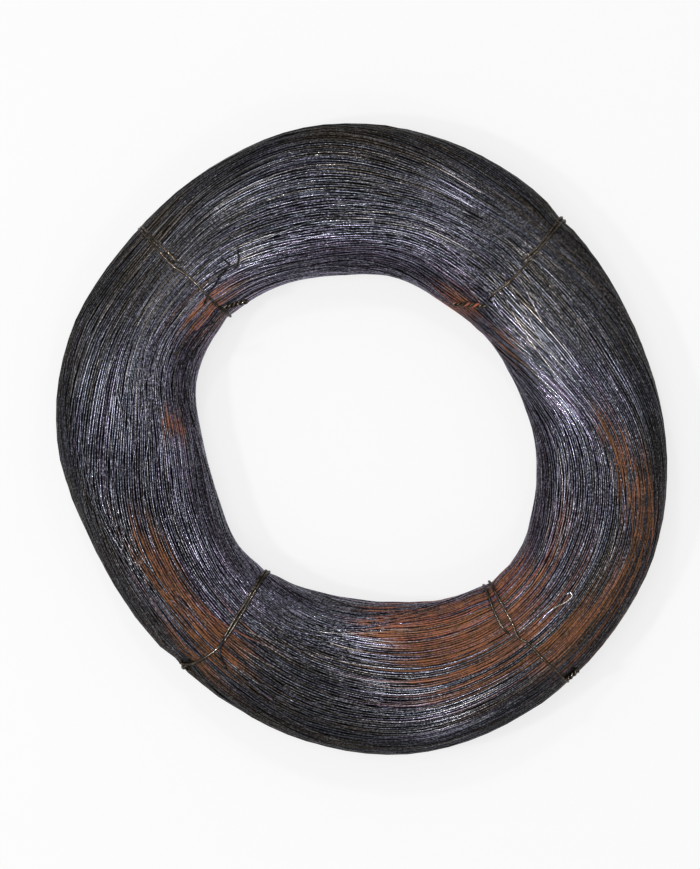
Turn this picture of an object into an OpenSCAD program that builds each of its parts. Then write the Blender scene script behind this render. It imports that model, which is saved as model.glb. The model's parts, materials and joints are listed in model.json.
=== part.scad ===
// Coil of black annealed wire, lying flat, held by four doubled wire ties.
// Millimetres. The origin is on the floor under the centre of the bore, and +Z runs up the bore's axis.

/* [Wire] */
// Diameter of the coiled wire
wire_d = 1.6; // [1.2:0.1:2.4]

/* [Coil] */
// Diameter of the bore, between the innermost turns
bore_d = 255; // [200:5:300]
// Diameter over the outermost turns
outer_d = 455; // [400:5:520]
// Height of the coil as it lies
coil_h = 62; // [44:1:90]
// Radius of the section's rounded shoulders, across the coil
shoulder_r = 28; // [16:1:40]
// Height of the plain wall between the shoulders
wall_l = 6; // [2:1:20]

/* [Ties] */
// Diameter of the tie wire
tie_d = 2; // [1.6:0.1:2.6]
// Gap between the two strands of a tie
strand_gap = 0.4; // [0.3:0.1:1.5]
// Bearing of the back right tie round the bore
back_right_angle = 48; // [30:1:60]
// Bearing of the back left tie
back_left_angle = 137; // [120:1:150]
// Bearing of the front left tie
front_left_angle = 231; // [210:1:240]
// Bearing of the front right tie
front_right_angle = 310; // [300:1:330]

/* [Twisted ends] */
// Length of the twisted end of a tie
twist_l = 18; // [10:1:26]
// Length along which the twisted strands make one turn
twist_lead = 7; // [5:0.5:10]

/* [Hidden] */
$fn = 96;

// Play between a tie and the turns that it holds
tie_clearance = 0.3;
// Spacing of the turns, as a share of the wire's diameter, because they nest into each other
turn_nesting_share = 0.96;
// Where a turn's crest starts, as a share of the spacing of the turns
crest_start_share = 0.26;
// How far the groove between two turns stands out from their centres, as a share of the wire's radius
groove_lift_share = 0.28;
// Steps in each rounded corner of the waist under a tie, and of the tie's own path
corner_steps = 6;
// Sides of the tie wire
tie_sides = 10;
// Spread of a twist's two strands from its axis, as a share of the tie wire's radius
pair_spread_share = 1.1;
// Steps in one turn of a twisted end
twist_steps = 12;
// Bend where a strand turns into the twist, as a share of the tie wire's diameter, and its steps
bend_share = 0.75;
bend_steps = 3;
// Length along which a strand comes down from the twist, as a share of the tie wire's diameter, and its steps
descent_share = 5;
descent_steps = 4;
// Where a twist lies on the section: up from the outer wall, or over towards the bore
outer_twist_angle = 25;
inner_twist_angle = 120;

wire_r = wire_d / 2;
bore_r = bore_d / 2;
outer_r = outer_d / 2;
tie_r = tie_d / 2;
tie_angles = [back_right_angle, back_left_angle, front_left_angle, front_right_angle];
tie_count = len(tie_angles);

// The shoulders fill the height that the wall leaves, so each is a quarter of an ellipse,
// and of a circle where they are as high as they are wide.
shoulder_h = (coil_h - wall_l) / 2;
shoulder = [shoulder_r, shoulder_h];
flat_l = outer_r - bore_r - 2 * shoulder_r;

// Length of a quarter of an ellipse with these half axes.
function quarter_l(axes) =
    let (h = pow((axes.x - axes.y) / (axes.x + axes.y), 2))
    PI / 4 * (axes.x + axes.y) * (1 + 3 * h / (10 + sqrt(4 - 3 * h)));

// Point of an ellipse round the origin at an angle, lifted out from it.
function on_ellipse(axes, a, lift) =
    let (out = [cos(a) / axes.x, sin(a) / axes.y])
    [axes.x * cos(a), axes.y * sin(a)] + lift * out / norm(out);

// The turns seen on the section follow its outline, from the top of the bore's wall
// over the upper end to half-way down the outer wall; the lower half mirrors them.
turn_corner = shoulder - [wire_r, wire_r];
corner_l = quarter_l(turn_corner);
half_walk_l = 2 * corner_l + flat_l + wall_l / 2;
turns_per_half = round(half_walk_l / (wire_d * turn_nesting_share));
turn_step = half_walk_l / turns_per_half;
groove_lift = wire_r * groove_lift_share;

// A point of the outline: the way walked along the turns' centres, and its lift out from them.
function on_corner(centre_x, side, walked, lift) =
    let (p = on_ellipse(turn_corner, 90 * walked / corner_l, lift))
    [centre_x + side * p.x, coil_h - shoulder_h + p.y];

function outline_point(walked, lift) =
    walked < corner_l ? on_corner(bore_r + shoulder_r, -1, walked, lift)
    : walked < corner_l + flat_l ? [bore_r + shoulder_r + walked - corner_l, coil_h - wire_r + lift]
    : walked < 2 * corner_l + flat_l
        ? on_corner(outer_r - shoulder_r, 1, 2 * corner_l + flat_l - walked, lift)
    : [outer_r - wire_r + lift, coil_h - shoulder_h - (walked - 2 * corner_l - flat_l)];

// Each turn shows as a crest between two grooves.
upper_outline = [for (i = [0 : turns_per_half - 1])
    each [outline_point((i + crest_start_share) * turn_step, wire_r),
          outline_point((i + 1 - crest_start_share) * turn_step, wire_r),
          outline_point((i + 1) * turn_step, groove_lift)]];
lower_outline = [for (i = [len(upper_outline) - 2 : -1 : 0])
    [upper_outline[i].x, coil_h - upper_outline[i].y]];

// Each tie pulls its part of the coil in by its own thickness,
// so that it lies clear of the bore and the floor.
tie_bite = tie_d + 2 * tie_clearance;
strand_pitch = tie_d + strand_gap;
waist_half_w = strand_pitch / 2 + tie_r + tie_clearance;
waist_angle = 2 * asin(waist_half_w / bore_r);

// A tie's way round the section, at the middle of its wire: corners from the outer top one,
// each followed by a straight.
tie_inset = tie_bite - tie_clearance - tie_r;
tie_corner = shoulder - [tie_inset, tie_inset];
tie_corner_l = quarter_l(tie_corner);
corner_centres = [[outer_r - shoulder_r, coil_h - shoulder_h], [bore_r + shoulder_r, coil_h - shoulder_h],
                  [bore_r + shoulder_r, shoulder_h], [outer_r - shoulder_r, shoulder_h]];
corner_starts = [0, tie_corner_l + flat_l, 2 * tie_corner_l + flat_l + wall_l,
                 3 * tie_corner_l + 2 * flat_l + wall_l];
loop_l = 4 * tie_corner_l + 2 * flat_l + 2 * wall_l;

// The twisted end lies over the turns, along the coil.
pair_spread = tie_r * pair_spread_share;
twist_lift = tie_inset + tie_clearance + pair_spread + tie_r;
// More lift over the inner shoulder, where the coil curves up towards a straight twist
inner_twist_lift = twist_lift + pow(twist_l + strand_pitch, 2) / bore_d;
bend_r = tie_d * bend_share;
descent_l = tie_d * descent_share;

// Outline of the coil's section: the turns that show are ridges, and the bore's wall is plain.
module turned_section() {
    polygon(concat([[bore_r, shoulder_h + wall_l]], upper_outline, lower_outline, [[bore_r, shoulder_h]]));
}

// Section of the coil under a tie, pulled in all round.
module waist_section() {
    waist_corner = shoulder - [tie_bite, tie_bite];
    polygon([for (k = [0 : 3], i = [0 : corner_steps])
        corner_centres[k] + on_ellipse(waist_corner, 90 * (k + i / corner_steps), 0)]);
}

// The run of turns from one tie to the next.
module run_of_turns(i) {
    next = i + 1 < tie_count ? tie_angles[i + 1] : tie_angles[0] + 360;
    rotate([0, 0, tie_angles[i] + waist_angle / 2])
        rotate_extrude(angle = next - tie_angles[i] - waist_angle)
            turned_section();
}

module wire_coil() {
    color([0.17, 0.16, 0.17]) union() {
        rotate_extrude() waist_section();
        for (i = [0 : tie_count - 1])
            run_of_turns(i);
    }
}

function unit(v) = v / norm(v);
function smooth(t) = (1 - cos(180 * t)) / 2;

// Point of a tie's way: the length walked from the outer top corner, and the lift out from it.
function way_point(walked, lift) =
    let (w = walked % loop_l,
         k = max([for (i = [0 : 3]) if (corner_starts[i] <= w) i]),
         along = w - corner_starts[k],
         a = 90 * (k + min(along / tie_corner_l, 1)))
    corner_centres[k] + on_ellipse(tie_corner, a, lift) + max(along - tie_corner_l, 0) * [-sin(a), cos(a)];

// Point of the tie wire in space: the length walked, the lane along the coil and the lift.
function tie_point(walked, lane, lift) = let (p = way_point(walked, lift)) [p.x, lane, p.y];

// One strand of the twisted end, from its root to its tip.
function twist_strand(knot, side, root, lift) =
    let (steps = ceil(twist_steps * twist_l / twist_lead))
    [for (i = [1 : steps])
        let (a = 360 * twist_l / twist_lead * i / steps)
        tie_point(knot + side * pair_spread * cos(a), root + twist_l * i / steps,
                  lift + side * pair_spread * sin(a))];

// A strand's bend out of the twist and its way down onto the turns.
function strand_descent(knot, side, lane, lift) =
    concat(
        [for (i = [0 : bend_steps])
            let (a = 90 * i / bend_steps)
            tie_point(knot + side * (pair_spread + bend_r * (1 - cos(a))), lane + bend_r * (1 - sin(a)), lift)],
        [for (i = [1 : descent_steps])
            let (t = i / descent_steps)
            tie_point(knot + side * (pair_spread + bend_r + descent_l * t), lane, lift * (1 - smooth(t)))]);

// The lengths walked, between two limits, at which the way round the section bends.
function way_bends(from, to) =
    [for (turn = [1 : 3], k = [0 : 3], i = [0 : corner_steps])
        let (w = turn * loop_l + corner_starts[k] + tie_corner_l * i / corner_steps)
        if (w > from + tie_r && w < to - tie_r) w];

function reversed(list) = [for (i = [len(list) - 1 : -1 : 0]) list[i]];

// The whole tie: down from the twist, twice round the section side by side, and up into the twist again.
function tie_path(knot_angle, lift) =
    let (k = floor(knot_angle / 90),
         knot = corner_starts[k] + tie_corner_l * (knot_angle / 90 - k) + loop_l,
         lane = strand_pitch / 2,
         reach = pair_spread + bend_r + descent_l,
         root = lane + bend_r,
         crossing = knot + loop_l)
    concat(
        reversed(twist_strand(knot, 1, root, lift)),
        strand_descent(knot, 1, -lane, lift),
        [for (w = way_bends(knot + reach, crossing - reach)) tie_point(w, -lane, 0)],
        [for (t = [-1 : 1 / descent_steps : 1]) tie_point(crossing + reach * t, lane * t, 0)],
        [for (w = way_bends(crossing + reach, crossing + loop_l - reach)) tie_point(w, lane, 0)],
        reversed(strand_descent(knot, -1, lane, lift)),
        twist_strand(knot, -1, root, lift));

// A wire along a path: one ring of corners at each of its points, carried on without turning.
module wire_along(path) {
    last = len(path) - 1;
    tangents = [for (i = [0 : last]) unit(path[min(i + 1, last)] - path[max(i - 1, 0)])];
    first_side = unit(cross(tangents[0], [tangents[0].y, tangents[0].z, tangents[0].x]));
    sides = [for (i = 0, n = first_side; i <= last;
                  i = i + 1, n = i > last ? n : unit(n - (n * tangents[i]) * tangents[i])) n];
    rings = [for (i = [0 : last], j = [0 : tie_sides - 1])
        let (a = 360 * j / tie_sides)
        path[i] + tie_r * (cos(a) * sides[i] + sin(a) * cross(tangents[i], sides[i]))];
    skin = [for (i = [0 : last - 1], j = [0 : tie_sides - 1])
        let (p = i * tie_sides + j, q = i * tie_sides + (j + 1) % tie_sides)
        each [[p, p + tie_sides, q], [q, p + tie_sides, q + tie_sides]]];
    root_cap = [for (j = [0 : tie_sides - 1]) j];
    tip_cap = [for (j = [tie_sides - 1 : -1 : 0]) last * tie_sides + j];
    polyhedron(points = rings, faces = concat(skin, [root_cap, tip_cap]));
}

// A tie of one wire, with its twist at the outer or the inner shoulder,
// laid one way or the other along the coil.
module tie_wire(angle, twist_inside = false, laid_clockwise = false) {
    lay = laid_clockwise ? -1 : 1;
    path = twist_inside
        ? tie_path(inner_twist_angle, inner_twist_lift)
        : tie_path(outer_twist_angle, twist_lift);
    color([0.2, 0.16, 0.13]) rotate([0, 0, angle])
        wire_along([for (p = path) [p.x, lay * p.y, p.z]]);
}

wire_coil();
tie_wire(back_right_angle, twist_inside = true);  // tie_wire_back_right
tie_wire(back_left_angle, twist_inside = true, laid_clockwise = true);  // tie_wire_back_left
tie_wire(front_left_angle);  // tie_wire_front_left
tie_wire(front_right_angle);  // tie_wire_front_right
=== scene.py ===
"""Looks of a coil of black annealed wire held by four wire ties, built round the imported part."""

import json
import math

import bpy
import numpy as np
from mathutils import Matrix, Vector


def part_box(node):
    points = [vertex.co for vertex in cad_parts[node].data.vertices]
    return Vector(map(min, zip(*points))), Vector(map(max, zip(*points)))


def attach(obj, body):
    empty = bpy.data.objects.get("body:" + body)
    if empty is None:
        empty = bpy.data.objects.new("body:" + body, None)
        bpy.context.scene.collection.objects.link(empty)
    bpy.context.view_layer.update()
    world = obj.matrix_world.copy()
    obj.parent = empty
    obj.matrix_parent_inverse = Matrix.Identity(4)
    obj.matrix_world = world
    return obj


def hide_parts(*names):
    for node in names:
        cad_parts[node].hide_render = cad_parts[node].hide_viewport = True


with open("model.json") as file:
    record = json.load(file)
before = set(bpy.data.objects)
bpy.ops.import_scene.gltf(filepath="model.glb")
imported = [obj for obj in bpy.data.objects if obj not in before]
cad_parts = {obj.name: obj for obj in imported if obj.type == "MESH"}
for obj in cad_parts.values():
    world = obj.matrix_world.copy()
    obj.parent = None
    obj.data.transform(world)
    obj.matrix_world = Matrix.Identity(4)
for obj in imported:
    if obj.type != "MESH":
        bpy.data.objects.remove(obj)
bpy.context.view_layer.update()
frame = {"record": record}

MM = 0.001
TURN = 2 * math.pi
UP = np.array([0, 0, 1.0])

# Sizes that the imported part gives
coil_low, coil_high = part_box("wire_coil")
coil_h = coil_high[2] - coil_low[2]
outer_r = (coil_high[0] - coil_low[0]) / 2
bore_r = next(m for m in frame["record"]["mounts"] if m["name"] == "bore")["dims"]["r_mm"] * MM

# Sizes of the wire
wire_d = 1.6 * MM
wire_r = wire_d / 2
tie_d = 2.0 * MM

# The coil lies out of round. Every 20 degrees from +X towards +Y, this is how far its outer and inner edges
# stand out from the round part, in millimetres.
OUTER_EDGE = [-4.0, -10.0, -8.5, -0.5, 7.0, 12.5, 9.5, 7.0, 10.0, 5.5, -7.0, -9.0, -6.0, 2.5, 9.5, 8.5, 6.0, 3.0]
INNER_EDGE = [
    -2.0, -8.5, -9.5, -10.0, -3.5, -1.5, 6.5, 12.0, 9.0, -4.0, -8.0, -3.0, -6.0, -8.5, -4.0, 7.5, 14.5, 6.0]
# The section's rounded shape: 2 is an ellipse, and a larger power is squarer
section_power = 2.7

# Bearings of the ties round the bore, from +X towards +Y
TIE_BEARINGS = {"back_right": 48, "back_left": 137, "front_left": 231, "front_right": 310}
# How much lower the coil is under a tie, and how far along the coil that reaches
tie_squeeze = 3.0 * MM
tie_squeeze_reach = 45 * MM
# The groove that a tie's wire presses into the turns, and how deep the wire lies in them
tie_groove_depth = 2.4 * MM
tie_groove_w = 4.0 * MM
tie_sink = 0.2 * MM
# Near a tie the turns lie more evenly: over this reach, this share of their unevenness is gone
tie_bed_reach = 14 * MM
tie_bed_share = 0.8
# A strand follows its laid way up to this share of the section's half width
tie_top_share = 0.92
# A strand that is lower than this runs under the turns and presses no groove
tie_hidden_lift = -1 * MM

# The strands of each tie, from the outer edge over the top to the inner edge: places in plan from the bore's
# centre, and lift, in millimetres. A strand with a lift of -4 runs under the turns. Each goes on round the underside.
TIE_STRANDS = {
    "back_left": [
        [(-170, 159, 0), (-157, 144, 0), (-143, 129, 0), (-131, 120.5, 0), (-117, 106.5, 0), (-110, 99, 0),
         (-104, 95, 0)],
        [(-168, 160, 0), (-154, 146, 0), (-146, 138, 0), (-140.5, 132.5, 0), (-136, 127, -4), (-110, 97, -4),
         (-102, 96, -2)],
    ],
    "back_right": [
        [(150, 166, 0), (142, 154.5, 0), (130, 139.5, 0), (117, 124.5, 0), (106, 113.5, 0), (96, 106.5, 0),
         (91, 99, -4), (86, 93, -2)],
        [(147, 168, 0), (138.5, 153.5, 0), (128, 140, 0), (119, 132.5, 0), (113, 126, -4), (92, 103, -4),
         (84, 95, -2)],
    ],
    "front_left": [
        [(-142, -162, 0), (-135, -167.5, 0), (-125, -166, 0), (-112, -158.5, 0), (-103, -149.4, 0),
         (-91.8, -132.3, 0), (-82.7, -116.4, 0), (-72, -97, 0)],
        [(-143, -165, 0), (-135, -166, -4), (-112, -157, -4), (-105, -149.4, 0), (-95.2, -132.9, 0),
         (-84.8, -116.4, 0), (-74.5, -96, 0)],
    ],
    "front_right": [
        [(152, -182, 0), (143, -174, 0), (128, -159.4, 0), (121, -152, 0), (113.5, -147.5, 0), (109, -136.6, 0),
         (99.8, -120, 0), (95, -111, 0), (93, -102, 0)],
        [(151, -184, 0), (140, -173, -4), (112, -149, -4), (103.8, -142.3, 0), (98, -133.2, 0), (92.4, -119.6, 0),
         (88, -105, 0)],
    ],
}
# The twisted ends of the ties: where each twist starts and ends in plan, and its drop from the top there,
# in millimetres, and the share of it that has rusted
TIE_TWISTS = {
    "back_left": ((-106, 98, 10), (-87, 103, 10), 0.1),
    "back_right": ((91, 97, 3), (66, 100, 12), 0.6),
    "front_left": ((-138, -166, 17), (-132, -171, 16), 0.1),
    "front_right": ((149, -179, 15), (157, -172, 15), 0.1),
}
twist_lead = 7.0 * MM
# Each end lies this share of its width off the twist's line. It starts at a share of that and opens along the twist.
twist_spread_share = 0.55
twist_start_share = 0.3
twist_opening = 4
# Lightness and rusted share of the ties' strands
tie_tone = 0.7
tie_rust_share = 0.08
tie_seed = 100

# Loose ends of wire on top of the coil: how light each is, and its places in plan and lift, in millimetres
LOOSE_ENDS = [
    # A bright hook
    (0.9, [(128, -138, -2), (134, -131, 0.4), (140, -126, 1.2), (147, -122.5, 2.4), (152, -119, 3),
           (153.2, -116.5, 3), (151.5, -114.5, 2.6), (149.5, -116.5, 2)]),
    # The free end of the front left tie
    (0.2, [(-103, -147, 0.2), (-106.5, -155, 1.2), (-106, -161, 1.5), (-104, -166.5, 1.4), (-101.5, -171, 0.8)]),
    # A dark end that curls back, and a short one beside it
    (0.2, [(-106, 134, 0.8), (-102, 131, 1.8), (-100.7, 128, 2.0), (-105.5, 122.5, 1.2), (-115, 109.5, 0.2),
           (-120, 100, -2)]),
    (0.3, [(-94, 142, -1), (-93.5, 138, 1.2), (-93.5, 132, 1.4), (-96, 126, 0)]),
    # Two ends that leave the inner turns below the back left tie
    (0.4, [(-113, 88, -2), (-128, 78, 0.4), (-134.5, 70, 1.2), (-140, 64, 1.4), (-143, 63, 1.0)]),
    (0.3, [(-122, 73.5, -2), (-128, 63, 1.0), (-133.5, 57.5, 1.4), (-138.5, 56, 0.8)]),
    # Short ends that stand across the turns
    (0.4, [(-86, -180, -1), (-77, -187, 1.2), (-65, -196, 1.4)]),
    (0.7, [(-184.5, 36, 1.4), (-182, 27, 1.6), (-180, 17, -1)]),
]
loose_rust_share = 0.1
loose_seed = 200

# The wound wire: points in a turn, sides of the wire, and the step from a layer to the next one under it
POINTS_PER_TURN = 96
WIRE_SIDES = 5
layer_step = 1.5 * MM
# The dark filling under the layers: points round the coil and round its section, and its depth
CORE_POINTS = 181
CORE_SIDES = 48
core_depth = 3.6 * layer_step
# The turns don't lie concentric. Every 20 degrees, this is how far they all swing out across the top of the coil,
# in millimetres, and the sweep is how far neighbouring turns then wander together.
TURN_SWING = [8, -10, -25, -26, -19, -12, -14, -17, -15, -11, 0, 3, 15, 26, 29, 23, 16, 15]
coil_sweep = 4.0 * MM
sweep_seed = 11
# How turns wander, as the most lobes round the coil and the spread across it: all layers together, a layer by
# itself, a layer in its depth, and each turn by itself
SWEEP_WAVES = (4, 150 * MM)
LAYER_WAVES = (5, 100 * MM)
DEPTH_WAVES = (5, 20 * MM)
SINGLE_WAVES = (12, 2 * MM)
single_stray = 0.3 * MM
layer_sink = 0.25 * MM
single_sink = 0.25 * MM
# Small kinks of a wire, along the section and in its depth
KINK_SHARES = np.array([[1], [2]])

# Places of rust: bearing in degrees, place between the inner edge (0) and the outer edge (1),
# half its length in degrees, half its width in the same shares, and its strength
RUST_PLACES = [
    (300, 0.32, 20, 0.30, 1.0),
    (284, 0.17, 12, 0.16, 0.9),
    (314, 0.12, 9, 0.14, 0.8),
    (316, 0.74, 9, 0.16, 0.9),
    (328, 0.84, 13, 0.11, 0.8),
    (328, 0.35, 14, 0.25, 0.22),
    (341, 0.85, 8, 0.10, 0.8),
    (348, 0.77, 7, 0.09, 0.8),
    (355, 0.66, 6, 0.08, 0.8),
    (2, 0.54, 5, 0.06, 0.8),
    (233, 0.66, 9, 0.20, 0.95),
    (215, 0.60, 13, 0.13, 0.8),
    (141, 0.15, 9, 0.13, 0.5),
    (176, 0.16, 4, 0.06, 0.9),
    (55, 0.07, 7, 0.09, 0.9),
    (35, 0.10, 9, 0.07, 0.4),
]
# Some stretches of a wire take up more rust than others: the weight of each kind, and its length in turns
RUST_STRETCHES = [(0.55, 0.07), (0.45, 0.6)]
# How much a place of rust and the difference between stretches count, and where rust starts and how it fades in
rust_place_weight = 0.85
rust_stretch_weight = 2.2
rust_start = 0.2
rust_fade = 0.5
rust_place_fade = 0.3
# Places of painted glints, where the turns are painted brighter and are smoother, in the same way
PAINTED_GLINT_PLACES = [
    (33, 0.31, 9, 0.14, 1.0),
    (15, 0.33, 10, 0.12, 1.0),
    (67, 0.33, 8, 0.14, 0.7),
    (69, 0.74, 7, 0.12, 0.8),
    (114, 0.72, 10, 0.14, 0.6),
    (172, 0.55, 10, 0.16, 0.5),
    (187, 0.18, 7, 0.10, 0.6),
    (272, 0.25, 7, 0.12, 0.7),
    (279, 0.53, 9, 0.12, 0.9),
    (287, 0.78, 10, 0.12, 1.0),
    (130, 0.20, 18, 0.18, 0.45),
    (126, 0.07, 9, 0.08, 1.0),
    (14, 0.82, 14, 0.14, 0.5),
    (165, 0.82, 14, 0.14, 0.4),
    (136, 0.84, 12, 0.12, 0.45),
]
# Places of painted shade, where the turns are painted darker and are rougher, in the same way
PAINTED_SHADE_PLACES = [
    (248, 0.50, 18, 0.28, 0.7),
    (215, 0.48, 20, 0.25, 0.5),
    (188, 0.48, 18, 0.22, 0.3),
]

# Lightness of the coil's wire. Most of it is dull, with short stretches that are bright: to the base, each kind of
# stretch adds its weight, over its length in turns, with a power that makes bright ones rare and a step of the seed.
base_tone = 0.37
TONE_STRETCHES = [(0.06, 0.7, 1, 6), (0.08, 0.11, 1, 7), (0.3, 0.015, 4, 9)]
# Painted glints in their places: what they add, over stretches of this length in turns, with a power that makes them
# rare
painted_glint_weight, painted_glint_turns, painted_glint_power = 1.6, 0.03, 3
# What is taken off towards the outer side of the coil, the painted shade on its flank and in the places of painted
# shade, and where the flank starts
outer_shade = 0.2
painted_flank_shade = 0.12
painted_place_shade = 0.3
flank_start = 0.8
flank_fade = 0.17
# Painted highlight on the side of each wire that faces out, and painted shade on its other sides, in the grooves
# between the wires
painted_crest_highlight = 1.3
painted_side_shade = 0.2
# Temper tint of the coil's wire, from brown to violet: its middle, its spread over a stretch's length in turns,
# and how far the outer side of the coil and rust bring it towards brown
temper_middle = 0.5
temper_spread = 0.7
temper_turns = 0.15
outer_temper = 0.2
rust_temper = 0.3
# The ties and loose ends: lightness of a wire's painted shade on its sides, the painted highlight that its upper side
# adds, the length of its stretches of rust, and how sharply they end
strand_painted_side_shade = 0.3
strand_painted_top_highlight = 0.9
worn_stretch_l = 10 * MM
worn_rust_edge = 3


def linear(hex_colour):
    """Linear RGBA of an sRGB hex colour."""
    parts = [int(hex_colour[i:i + 2], 16) / 255 for i in (1, 3, 5)]
    return [c / 12.92 if c <= 0.04045 else ((c + 0.055) / 1.055) ** 2.4 for c in parts] + [1.0]


def node(tree, kind, inputs=None, ramp=None, **settings):
    """Adds a node with its settings, its inputs, as values or as sockets to link, and a ramp's stops."""
    made = tree.nodes.new(kind)
    for name, value in settings.items():
        setattr(made, name, value)
    for key, value in (inputs or {}).items():
        if isinstance(value, bpy.types.NodeSocket):
            tree.links.new(value, made.inputs[key])
        else:
            made.inputs[key].default_value = value
    if ramp:
        stops = made.color_ramp.elements
        while len(stops) < len(ramp):
            stops.new(1.0)
        for stop, (place, colour) in zip(stops, ramp):
            stop.position = place
            stop.color = linear(colour)
    return made


# Shape of the coil's section, all round

tie_places = np.radians(list(TIE_BEARINGS.values()))


def round_the_coil(values, bearing):
    """A smooth curve round the coil through values in millimetres that stand evenly apart."""
    count = len(values)
    place = bearing % TURN / TURN * count
    i = np.floor(place).astype(int)
    t = place - i
    v = np.asarray(values) * MM
    before, a, b, after = (v[(i + k) % count] for k in (-1, 0, 1, 2))
    bend = 2 * before - 5 * a + 4 * b - after + t * (3 * (a - b) + after - before)
    return a + t / 2 * (b - before + t * bend)


def tie_distance(bearing, radius):
    """Length along the coil to the nearest tie."""
    gaps = np.abs((bearing[..., None] - tie_places + math.pi) % TURN - math.pi)
    return gaps.min(axis=-1) * radius


def section_size(bearing):
    """Middle radius, half width and half height of the section at a bearing."""
    outer = outer_r + round_the_coil(OUTER_EDGE, bearing)
    inner = bore_r + round_the_coil(INNER_EDGE, bearing)
    near_tie = np.exp(-(tie_distance(bearing, (outer + inner) / 2) / tie_squeeze_reach) ** 2)
    return (outer + inner) / 2, (outer - inner) / 2, (coil_h - tie_squeeze * near_tie) / 2


def squared(value):
    """A cosine or sine of the section's angle, pushed out to the section's squarer shape."""
    return np.sign(value) * np.abs(value) ** (2 / section_power)


# Length along the mean section's outline, from the middle of its underside out over the top, by angle
outline_angles = np.linspace(-math.pi / 2, 1.5 * math.pi, 2001)
mean_outline = np.stack([
    squared(np.cos(outline_angles)) * (outer_r - bore_r) / 2, squared(np.sin(outline_angles)) * coil_h / 2])
outline_lengths = np.append(0, np.cumsum(np.hypot(*np.diff(mean_outline, axis=1))))
outline_l = outline_lengths[-1]


def on_section(bearing, angle, depth):
    """Points at a bearing, at an angle of the section and a depth under its surface."""
    middle, half_w, half_h = section_size(bearing)
    radius = middle + (half_w - depth) * squared(np.cos(angle))
    height = coil_h / 2 + (half_h - depth) * squared(np.sin(angle))
    return np.stack([radius * np.cos(bearing), radius * np.sin(bearing), height], axis=-1)


def over_plan(points, lift):
    """Points of the coil's upper surface at places in plan, raised by a lift."""
    x, y = points[:, 0], points[:, 1]
    bearing = np.arctan2(y, x)
    middle, half_w, half_h = section_size(bearing)
    share = np.clip(np.abs(np.hypot(x, y) - middle) / half_w, 0, 1)
    height = coil_h / 2 + half_h * (1 - share ** section_power) ** (1 / section_power)
    return np.stack([x, y, height + lift], axis=-1)


def plan_curve(places, steps=12):
    """A smooth curve in plan, with its lift, through given points in millimetres, with steps between each two."""
    points = np.asarray(places, float) * MM
    last = len(points) - 1
    fine = np.linspace(0, last, last * steps + 1)
    k = np.minimum(fine.astype(int), last - 1)
    t = (fine - k)[:, None]
    slope = np.gradient(points, np.arange(len(points)), axis=0)
    a, b, slope_a, slope_b = points[k], points[k + 1], slope[k], slope[k + 1]
    return ((2 * t**3 - 3 * t**2 + 1) * a + (t**3 - 2 * t**2 + t) * slope_a
            + (3 * t**2 - 2 * t**3) * b + (t**3 - t**2) * slope_b)


# Wound wire

def groove_under_ties(x, y):
    """How far the ties press the turns in at places in plan."""
    nearest = np.full(x.shape, outer_r)
    for strands in TIE_STRANDS.values():
        for strand in strands:
            for px, py, lift in plan_curve(strand)[::3]:
                if lift > tie_hidden_lift:
                    nearest = np.minimum(nearest, np.hypot(x - px, y - py))
    return tie_groove_depth * np.exp(-(nearest / tie_groove_w) ** 2)


def ripple(bearing, along, lobes, spread, seed, terms=7):
    """A smooth wandering between about -1 and 1, of so many lobes round the coil and so wide a spread across it."""
    rng = np.random.default_rng(seed)
    total = np.zeros_like(bearing)
    for _ in range(terms):
        waves = rng.integers(1, lobes + 1) * rng.choice([-1, 1])
        across = rng.uniform(-TURN, TURN) / spread
        total += np.sin(waves * bearing + across * along + rng.uniform(0, TURN))
    return total / math.sqrt(terms)


def along_wire(angle, turns_apart, seed):
    """Random values from 0 to 1 that change slowly along a wire."""
    rng = np.random.default_rng(seed)
    knots = int(angle[-1] / TURN / turns_apart) + 2
    return np.interp(angle / TURN / turns_apart, np.arange(knots), rng.random(knots))


def in_places(points, places):
    """How much of a place's strength each point of a wire has, fading out round the place."""
    bearing = np.arctan2(points[:, 1], points[:, 0])
    middle, half_w, _ = section_size(bearing)
    across = (np.hypot(points[:, 0], points[:, 1]) - middle) / half_w / 2 + 0.5
    share = np.zeros(len(points))
    for place, row, length, width, strength in places:
        off = (np.degrees(bearing) - place + 180) % 360 - 180
        share = np.maximum(share, strength * np.exp(-(off / length) ** 2 - ((across - row) / width) ** 2))
    return share


def rust_on(points, angle, seed):
    """How rusty each point of a wire is: the places of rust, taken up more by some stretches than by others."""
    rust = in_places(points, RUST_PLACES)
    taken = sum(
        weight * along_wire(angle, turns, seed + step) for step, (weight, turns) in enumerate(RUST_STRETCHES))
    cover = rust_place_weight * rust + rust_stretch_weight * (taken - 0.5) - rust_start
    return np.clip(cover / rust_fade, 0, 1) * np.clip(rust / rust_place_fade, 0, 1)


def tone_on(points, angle, outward, seed):
    """How light each point of a wire is, painted glints and painted shade included, with outward as 1 on the outer side
    of the coil and -1 on its inner side.
    """
    tone = base_tone
    for weight, turns, power, step in TONE_STRETCHES:
        tone = tone + weight * along_wire(angle, turns, seed + step) ** power
    # Painted glints: the turns are painted brighter in their places
    painted_glint = in_places(points, PAINTED_GLINT_PLACES)
    tone = tone + painted_glint_weight * painted_glint * along_wire(angle, painted_glint_turns, seed + 12) ** painted_glint_power
    # Painted shade on the flank and in its places, and darker towards the outer side
    shaded_flank = np.clip((outward - flank_start) / flank_fade, 0, 1)
    painted_shade_share = in_places(points, PAINTED_SHADE_PLACES)
    return tone * (1 - outer_shade * outward) * (1 - painted_flank_shade * shaded_flank) * (1 - painted_place_shade * painted_shade_share)


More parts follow.
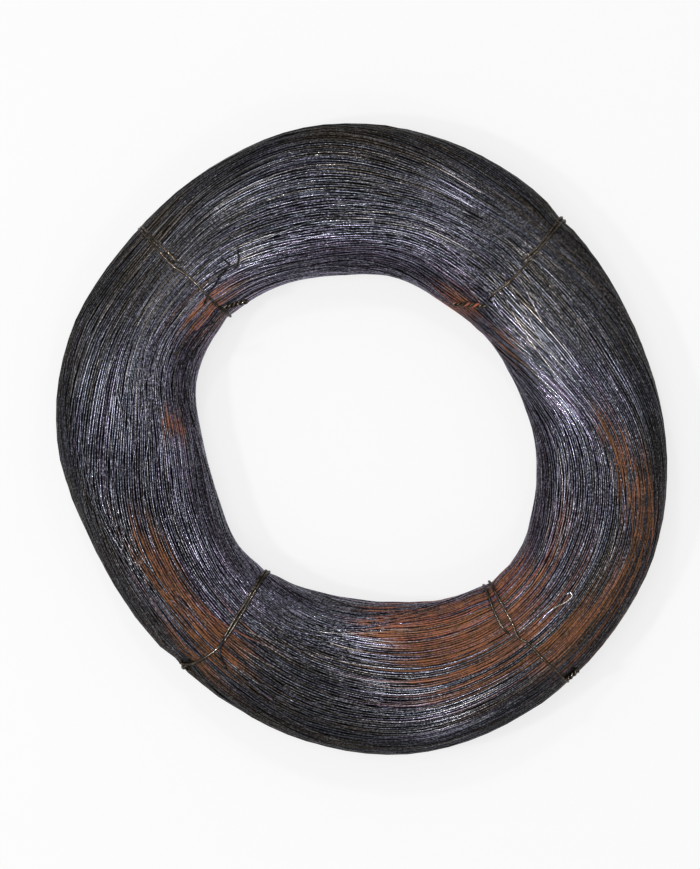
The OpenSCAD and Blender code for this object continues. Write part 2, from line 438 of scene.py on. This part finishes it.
def wire_mesh(name, wires):
    """One mesh of wires. Each wire is its rings of points, and how light, how blue and how rusty it is there."""
    mesh = bpy.data.meshes.new(name)
    points, faces, marks, start = [], [], [], 0
    for rings, *ring_marks in wires:
        count, sides, _ = rings.shape
        index = start + np.arange(count * sides).reshape(count, sides)
        near, far = index[:-1], index[1:]
        sheath = np.stack([near, np.roll(near, -1, 1), np.roll(far, -1, 1), far], axis=-1).reshape(-1, 4)
        faces += sheath.tolist() + [index[0, ::-1].tolist(), index[-1].tolist()]
        points.append(rings.reshape(-1, 3))
        marks.append(np.stack([np.broadcast_to(m.T, (sides, count)).T.ravel() for m in ring_marks]))
        start += count * sides
    mesh.from_pydata(np.concatenate(points), [], faces)
    for key, values in zip(("tone", "temper", "rust"), np.concatenate(marks, axis=1)):
        mesh.attributes.new(key, "FLOAT", "POINT").data.foreach_set("value", values.astype("f"))
    mesh.shade_smooth()
    return mesh


def shown(name, mesh, material, slot, *nodes):
    """Puts a piece in the scene, on the part's only body, in place of its CAD nodes."""
    piece = bpy.data.objects.new(name, mesh)
    bpy.context.collection.objects.link(piece)
    mesh.materials.append(material)
    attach(piece, "root")
    if nodes:
        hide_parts(*nodes)


def wound_turns(name, turns, depth, wander, roughness, seed, material):
    """Turns of one wire laid side by side round the section, with the coil's swing and sweep and their own wander."""
    angle = np.linspace(0, TURN * turns, turns * POINTS_PER_TURN + 1)
    bearing = angle % TURN
    along = outline_l * angle / angle[-1]
    astray = (
        -round_the_coil(TURN_SWING, bearing) + coil_sweep * ripple(bearing, along, *SWEEP_WAVES, sweep_seed)
        + wander * ripple(bearing, along, *LAYER_WAVES, seed + 1)
        + single_stray * ripple(bearing, along, *SINGLE_WAVES, seed + 2))
    sunk = (
        layer_sink * ripple(bearing, along, *DEPTH_WAVES, seed + 3)
        + single_sink * ripple(bearing, along, *SINGLE_WAVES, seed + 4))
    kinks = roughness * KINK_SHARES * np.random.default_rng(seed + 5).normal(size=(2, len(angle)))
    near_tie = np.exp(-(tie_distance(bearing, outer_r) / tie_bed_reach) ** 2)
    place = (along + astray + kinks[0]) % outline_l
    section_angle = np.interp(place, outline_lengths, outline_angles)
    deep = depth + wire_r + np.abs(sunk) * (1 - tie_bed_share * near_tie) + kinks[1]
    centres = on_section(bearing, section_angle, deep)
    deep = deep + groove_under_ties(centres[:, 0], centres[:, 1])
    # The turns underneath bear on the floor
    deep = np.where(np.sin(section_angle) < 0, np.maximum(deep, wire_r), deep)
    centres = on_section(bearing, section_angle, deep)
    out = np.stack([np.cos(bearing), np.sin(bearing), np.zeros_like(bearing)], axis=-1)
    # The ring's first point is on the side of the wire that faces out of the coil
    lean = np.arctan2(squared(np.sin(section_angle)) ** 3, squared(np.cos(section_angle)) ** 3)
    rim = lean[:, None] + np.linspace(0, TURN, WIRE_SIDES, endpoint=False)
    rings = centres[:, None, :] + wire_r * (
        np.cos(rim)[..., None] * out[:, None, :] + np.sin(rim)[..., None] * UP)
    outward = np.cos(section_angle)
    rust = rust_on(centres, angle, seed + 8)
    # Painted highlight on the side of the wire that faces out, and painted shade on its other sides
    painted_ring_light = np.where(np.arange(WIRE_SIDES) == 0, painted_crest_highlight, painted_side_shade)
    tone = tone_on(centres, angle, outward, seed)[:, None] * painted_ring_light
    drift = temper_spread * (along_wire(angle, temper_turns, seed + 10) - 0.5)
    temper = temper_middle - outer_temper * outward + drift - rust_temper * rust
    mesh = wire_mesh(name, [(rings, tone, temper, rust)])
    # These rings go round the other way than a tube's, so the faces are turned to point out
    mesh.flip_normals()
    shown(name, mesh, material, "coil_wire", "wire_coil")


# Ties and loose ends

def tube(path, width, sides=8):
    """Rings of points round a path, carried along it without turning."""
    tangents = np.gradient(path, axis=0)
    tangents /= np.linalg.norm(tangents, axis=1, keepdims=True)
    side = np.cross(tangents[0], tangents[0][[1, 2, 0]])
    rim = np.linspace(0, TURN, sides, endpoint=False)
    rings = []
    for point, tangent in zip(path, tangents):
        side = side - tangent * side.dot(tangent)
        side /= np.linalg.norm(side)
        rings.append(point + width / 2 * (
            np.outer(np.cos(rim), side) + np.outer(np.sin(rim), np.cross(tangent, side))))
    return np.array(rings)


def tie_strand(places):
    """The way of one strand of a tie: over the top as it was laid, then tight round the rest of the section."""
    top = plan_curve(places)
    bearing = np.arctan2(top[:, 1], top[:, 0])
    middle, half_w, _ = section_size(bearing)
    share = (np.hypot(top[:, 0], top[:, 1]) - middle) / half_w
    kept = np.abs(share) < tie_top_share
    top, bearing, share = top[kept], bearing[kept], share[kept]
    over = over_plan(top, top[:, 2] - tie_sink)
    inner_end, outer_end = np.arccos(np.sign(share) * np.abs(share) ** (section_power / 2))[[-1, 0]]
    span = [inner_end, outer_end + TURN]
    angles = np.linspace(*span, 90)[1:-1]
    bearings = np.interp(angles, span, bearing[[-1, 0]])
    depth = tie_sink - np.interp(angles, span, top[[-1, 0], 2])
    return np.concatenate([over, on_section(bearings, angles, depth), over[:1]])


def tie_twist(start, end):
    """The ways of a tie's two ends, twisted together along the edge of the coil."""
    a, b = (np.array([x * MM, y * MM, coil_h - drop * MM]) for x, y, drop in (start, end))
    run = np.linspace(0, 1, 60)[:, None]
    line = b - a
    across = np.cross(line, UP) / np.linalg.norm(line)
    turn = run * np.linalg.norm(line) / twist_lead * TURN
    spread = tie_d * twist_spread_share * np.minimum(1, twist_opening * run + twist_start_share)
    for half in (0, math.pi):
        yield a + line * run + spread * (np.cos(turn + half) * across + np.sin(turn + half) * UP)


def rusty_wire_with_painted_top(path, width, tone, seed, rust_share):
    """A wire along a path, of one lightness with a painted highlight on its upper side and painted shade on its lower
    side, with rust in stretches.
    """
    length = np.append(0, np.cumsum(np.linalg.norm(np.diff(path, axis=0), axis=1)))
    knots = np.arange(0, length[-1] + 2 * worn_stretch_l, worn_stretch_l)
    patchy = np.interp(length, knots, np.random.default_rng(seed).random(len(knots)))
    rings = tube(path, width)
    # Painted highlight on the wire's upper side, and painted shade on its lower side
    lit_top_share = np.clip((rings - path[:, None, :])[..., 2] / (width / 2), 0, 1)
    rust = np.clip((patchy - 1 + rust_share) * worn_rust_edge, 0, 1)
    return rings, tone * (strand_painted_side_shade + strand_painted_top_highlight * lit_top_share), patchy, rust


# Materials

# Greys of the oxide from its darkest to its brightest turns, and its temper tints from brown to blue and violet
COIL_GREYS = [(0.12, "#2b2928"), (0.4, "#535358"), (0.6, "#74757e"), (0.95, "#d4d4e0")]
COIL_TEMPERS = [(0.2, "#d8c09a"), (0.4, "#d4d0c9"), (0.5, "#ccd1d8"), (0.6, "#d3cfde"), (0.8, "#e0cade")]
TIE_GREYS = [(0.1, "#221f1c"), (0.4, "#35312c"), (0.7, "#5a5650"), (0.95, "#b0aca6")]
TIE_TEMPERS = [(0.3, "#d8cab8"), (0.7, "#d8d2cc")]
# Rust from its dark hollows to its powdery crests. Some turns have rusted olive-brown and others brick-red.
RUST_BROWNS = [(0.4, "#3c2a22"), (0.7, "#75503f"), (0.95, "#a06a52"), (1.0, "#b87c60")]
RUST_TINTS = [(0.1, "#e6e0bc"), (0.4, "#fff2e4"), (0.65, "#ffdcd0")]
SHADOW_BLACKS = [(0.35, "#0d0c0c"), (0.65, "#1c1a1a")]

# Temper tints drift over long stretches, scale flakes and smears along a wire, and shallow dents and bends break up
# its glint. Grains of scale and rust are drawn coarser than they are, so that they show.
drift_l = 80 * MM
smear_l = 7 * MM
dent_l = 2.5 * MM
grain_l = 1.5 * MM
blotch_l = 4 * MM
# What smears and grains add to a wire's lightness, about what they add on average, and what grains add to rust's
smear_weight = 0.2
grain_weight = 1.15
mean_added = 0.665
powder_weight = 0.9


def black_annealed_steel(name, greys, tempers):
    """Soft steel wire with the oxide of its annealing: dark grey with brown, blue and violet temper tints, glossy
    where it was drawn smooth, so that a turn carries short bright glints, and dull red-brown where it has rusted."""
    material = bpy.data.materials.new(name)
    material.use_nodes = True
    tree = material.node_tree
    shader = tree.nodes["Principled BSDF"]
    place = node(tree, "ShaderNodeTexCoord").outputs["Object"]
    tone, temper, rust = (
        node(tree, "ShaderNodeAttribute", attribute_name=key).outputs["Fac"] for key in ("tone", "temper", "rust"))
    drift, smear, dent, grain = (
        node(tree, "ShaderNodeTexNoise", {"Vector": place, "Scale": 1 / length, "Detail": detail}).outputs["Fac"]
        for length, detail in ((drift_l, 3.0), (smear_l, 4.0), (dent_l, 2.0), (grain_l, 1.0)))
    # The tone carries the wires' painted highlights, glints and shade into their colour
    shade = node(tree, "ShaderNodeMath", {0: smear, 1: smear_weight, 2: tone}, operation="MULTIPLY_ADD")
    shade = node(tree, "ShaderNodeMath", {0: grain, 1: grain_weight, 2: shade.outputs[0]}, operation="MULTIPLY_ADD")
    shade = node(tree, "ShaderNodeMath", {0: shade.outputs[0], 1: mean_added}, operation="SUBTRACT")
    grey = node(tree, "ShaderNodeValToRGB", {"Fac": shade.outputs[0]}, ramp=greys)
    tint = node(tree, "ShaderNodeMix", {0: 0.5, 2: drift, 3: temper}, data_type="FLOAT")
    tint = node(tree, "ShaderNodeValToRGB", {"Fac": tint.outputs[0]}, ramp=tempers)
    oxide = node(tree, "ShaderNodeMix", {0: 1.0, 6: grey.outputs[0], 7: tint.outputs[0]},
                 data_type="RGBA", blend_type="MULTIPLY")
    powder = node(tree, "ShaderNodeMath", {0: grain, 1: powder_weight, 2: tone}, operation="MULTIPLY_ADD")
    powder = node(tree, "ShaderNodeValToRGB", {"Fac": powder.outputs[0]}, ramp=RUST_BROWNS)
    rust_tint = node(tree, "ShaderNodeValToRGB", {"Fac": temper}, ramp=RUST_TINTS)
    rusty = node(tree, "ShaderNodeMix", {0: 1.0, 6: powder.outputs[0], 7: rust_tint.outputs[0]},
                 data_type="RGBA", blend_type="MULTIPLY")
    rust_edge = node(tree, "ShaderNodeMapRange", {
        "Value": smear, "From Min": 0.35, "From Max": 0.65, "To Min": 0.5, "To Max": 1.1})
    cover = node(tree, "ShaderNodeMath", {0: rust, 1: rust_edge.outputs[0]}, operation="MULTIPLY", use_clamp=True)
    colour = node(tree, "ShaderNodeMix", {0: cover.outputs[0], 6: oxide.outputs[2], 7: rusty.outputs[2]},
                  data_type="RGBA")
    metal = node(tree, "ShaderNodeMapRange", {"Value": cover.outputs[0], "To Min": 1.0, "To Max": 0.1})
    # Bright stretches are smooth, dull oxide is rough, and rust is rougher still
    oxide_rough = node(tree, "ShaderNodeMapRange", {
        "Value": shade.outputs[0], "From Min": 0.4, "From Max": 0.95, "To Min": 0.5, "To Max": 0.13})
    rough = node(tree, "ShaderNodeMix", {0: cover.outputs[0], 2: oxide_rough.outputs[0], 3: 0.85}, data_type="FLOAT")
    dents = node(tree, "ShaderNodeBump", {"Height": dent, "Strength": 0.4, "Distance": 0.35 * MM})
    bump = node(tree, "ShaderNodeBump", {
        "Height": grain, "Strength": 0.2, "Distance": 0.3 * MM, "Normal": dents.outputs[0]})
    for key, socket in (("Base Color", colour.outputs[2]), ("Metallic", metal.outputs[0]),
                        ("Roughness", rough.outputs[0]), ("Normal", bump.outputs[0])):
        tree.links.new(socket, shader.inputs[key])
    return material


def oxide_in_shadow():
    """The turns deep inside the coil, which give the eye only near-black gaps between the outer turns."""
    material = bpy.data.materials.new("oxide_in_shadow")
    material.use_nodes = True
    tree = material.node_tree
    shader = tree.nodes["Principled BSDF"]
    place = node(tree, "ShaderNodeTexCoord").outputs["Object"]
    blotch = node(tree, "ShaderNodeTexNoise", {"Vector": place, "Scale": 1 / blotch_l, "Detail": 2.0})
    colour = node(tree, "ShaderNodeValToRGB", {"Fac": blotch.outputs["Fac"]}, ramp=SHADOW_BLACKS)
    tree.links.new(colour.outputs[0], shader.inputs["Base Color"])
    shader.inputs["Roughness"].default_value = 0.9
    return material


wire_steel = black_annealed_steel("black_annealed_drawn_steel", COIL_GREYS, COIL_TEMPERS)
tie_steel = black_annealed_steel("black_annealed_tie_wire", TIE_GREYS, TIE_TEMPERS)

# The coil: three layers of turns that show, and turns that stray over them
layer_turns = int(outline_l / wire_d)
wound_turns("surface_turns", layer_turns, depth=0.0, wander=4.5 * MM, roughness=0.06 * MM, seed=11,
            material=wire_steel)
wound_turns("second_turns", layer_turns, depth=layer_step, wander=5 * MM, roughness=0.06 * MM, seed=31,
            material=wire_steel)
wound_turns("third_turns", layer_turns, depth=2 * layer_step, wander=5 * MM, roughness=0.06 * MM, seed=51,
            material=wire_steel)
wound_turns("stray_turns", layer_turns // 4, depth=-0.25 * wire_d, wander=9 * MM, roughness=0.08 * MM, seed=71,
            material=wire_steel)

# The ties, and loose ends of the wire
for number, (tie, strands) in enumerate(TIE_STRANDS.items()):
    *twist, twist_rust_share = TIE_TWISTS[tie]
    ways = [(tie_strand(strand), tie_rust_share) for strand in strands]
    ways += [(way, twist_rust_share) for way in tie_twist(*twist)]
    wires = [rusty_wire_with_painted_top(way, tie_d, tie_tone, tie_seed + 10 * number + k, share) for k, (way, share) in enumerate(ways)]
    shown("tie_" + tie, wire_mesh("tie_" + tie, wires), tie_steel, "tie_wire", "tie_wire_" + tie)

loose = []
for number, (tone, places) in enumerate(LOOSE_ENDS):
    way = plan_curve(places)
    on_top = over_plan(way, way[:, 2] + wire_r)
    loose.append(rusty_wire_with_painted_top(on_top, wire_d, tone, loose_seed + number, loose_rust_share))
shown("loose_wire_ends", wire_mesh("loose_wire_ends", loose), wire_steel, "coil_wire")

# The dark filling under the turns
core_bearings, core_angles = np.meshgrid(
    np.linspace(0, TURN, CORE_POINTS), np.linspace(0, TURN, CORE_SIDES, endpoint=False), indexing="ij")
core_rings = on_section(core_bearings, core_angles, np.full_like(core_angles, core_depth))
core_mesh = wire_mesh("inner_turns", [(core_rings, *np.zeros((3, CORE_POINTS)))])
core_mesh.flip_normals()
shown("inner_turns", core_mesh, oxide_in_shadow(), "coil_wire", "wire_coil")

# The stage: a white floor, a pale sky and soft lamps
floor_size = 12.0
floor_mesh = bpy.data.meshes.new("floor")
floor_corners = [(x * floor_size / 2, y * floor_size / 2, 0) for x, y in ((-1, -1), (1, -1), (1, 1), (-1, 1))]
floor_mesh.from_pydata(floor_corners, [], [(0, 1, 2, 3)])
floor = bpy.data.objects.new("floor", floor_mesh)
bpy.context.collection.objects.link(floor)
# Matt white paper, drawn nearly even in the camera's and the metal's view, with a soft share of its shadow
glow_share = 0.7
glow_strength = 1.05
paper = bpy.data.materials.new("matt_white_paper")
paper.use_nodes = True
paper_tree = paper.node_tree
matt = paper_tree.nodes["Principled BSDF"]
matt.inputs["Base Color"].default_value = linear("#f6f6f6")
matt.inputs["Roughness"].default_value = 0.9
path = node(paper_tree, "ShaderNodeLightPath").outputs
seen = node(paper_tree, "ShaderNodeMath", {0: path["Is Camera Ray"], 1: path["Is Glossy Ray"]}, operation="MAXIMUM")
seen = node(paper_tree, "ShaderNodeMath", {0: seen.outputs[0], 1: path["Is Transmission Ray"]}, operation="MAXIMUM")
share = node(paper_tree, "ShaderNodeMath", {0: seen.outputs[0], 1: glow_share}, operation="MULTIPLY")
glow = node(paper_tree, "ShaderNodeEmission", {"Strength": glow_strength})
mixed = node(paper_tree, "ShaderNodeMixShader", {0: share.outputs[0], 1: matt.outputs[0], 2: glow.outputs[0]})
paper_tree.links.new(mixed.outputs[0], paper_tree.nodes["Material Output"].inputs["Surface"])
floor_mesh.materials.append(paper)

sky_strength = 0.4
world = bpy.data.worlds.new("studio")
bpy.context.scene.world = world
world.use_nodes = True
sky = world.node_tree.nodes["Background"]
sky.inputs["Color"].default_value = linear("#ffffff")
sky.inputs["Strength"].default_value = sky_strength

lamp_distance = 2.0
small_lamp = 0.16


def soft_lamp(name, bearing, height, size, power):
    """A square soft lamp that faces the coil from a bearing and a height, in degrees."""
    data = bpy.data.lights.new(name, "AREA")
    data.size = size
    data.energy = power
    lamp = bpy.data.objects.new(name, data)
    bpy.context.collection.objects.link(lamp)
    b, h = math.radians(bearing), math.radians(height)
    away = Vector((math.cos(h) * math.cos(b), math.cos(h) * math.sin(b), math.sin(h)))
    lamp.location = away * lamp_distance
    lamp.rotation_euler = away.to_track_quat("Z", "Y").to_euler()


soft_lamp("overhead", bearing=190, height=83, size=0.6, power=6)
soft_lamp("back_right", bearing=48, height=58, size=small_lamp, power=1.3)
soft_lamp("left", bearing=197, height=58, size=small_lamp, power=7.5)
soft_lamp("back", bearing=103, height=58, size=small_lamp, power=4)
soft_lamp("front", bearing=285, height=58, size=small_lamp, power=2)

# The camera looks down on the coil, a little from the lower right, with its aim in the upper part of the coil
PHOTO_W, PHOTO_H = 700, 869
coil_centre_px = (364.9, 438.4)
px_size = 0.744 * MM
camera_distance = 2.3
camera_tilt = math.radians(5)
camera_bearing = math.radians(-40)
aim_height_share = 0.8
aim = Vector((
    (PHOTO_W / 2 - coil_centre_px[0]) * px_size, (coil_centre_px[1] - PHOTO_H / 2) * px_size,
    coil_h * aim_height_share))
back = Vector((
    math.sin(camera_tilt) * math.cos(camera_bearing), math.sin(camera_tilt) * math.sin(camera_bearing),
    math.cos(camera_tilt)))
right = Vector((0, 1, 0)).cross(back).normalized()
up = back.cross(right)
camera_data = bpy.data.cameras.new("camera")
camera_data.sensor_fit = "VERTICAL"
camera_data.sensor_height = 36
camera_data.lens = camera_data.sensor_height * camera_distance / (PHOTO_H * px_size)
camera = bpy.data.objects.new("camera", camera_data)
turned = Matrix((right, up, back)).transposed().to_4x4()
camera.matrix_world = Matrix.Translation(aim + back * camera_distance) @ turned
bpy.context.collection.objects.link(camera)
bpy.context.scene.camera = camera
bpy.context.scene.view_settings.view_transform = "Standard"
